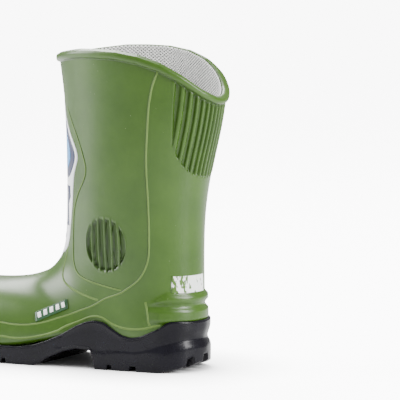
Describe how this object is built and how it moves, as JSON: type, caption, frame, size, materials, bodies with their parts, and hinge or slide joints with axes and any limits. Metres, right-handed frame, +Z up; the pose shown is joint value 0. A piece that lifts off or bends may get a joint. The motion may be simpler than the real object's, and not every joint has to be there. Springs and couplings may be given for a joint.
{
  "type": "rubber rain boot",
  "caption": "Calf-height moulded rubber work boot for the left foot with a cleated black outsole, knitted lining and lift-out footbed.",
  "frame": {"origin": "on the ground under the middle of the heel, on the heel's tread face", "axes": "+X to the toe, +Y to the boot's left (outer) side, +Z up"},
  "size_m": [0.3179, 0.1077, 0.2891],
  "materials": {
    "upper": "semi-matte moulded",
    "outsole": "semi-matte moulded",
    "midsole_plate": "plain",
    "insole_board": "pressed fibre",
    "toe_cap": "painted",
    "toe_cap_strip": "soft",
    "lining_sock": "knitted",
    "footbed_foam": "foam",
    "footbed_cover": "woven",
    "shin_label": "printed film",
    "heel_print": "worn print",
    "side_badge": "moulded badge"
  },
  "bodies": {
    "root": {"upper": "upper", "outsole": "outsole", "midsole_plate": "midsole_plate", "insole_board": "insole_board", "toe_cap": "toe_cap", "toe_cap_strip": "toe_cap_strip", "lining_sock": "lining_sock", "footbed_foam": "footbed_foam", "footbed_cover": "footbed_cover", "shin_label": "shin_label", "heel_print": "heel_print", "side_badge": "side_badge"}
  },
  "joints": []
}
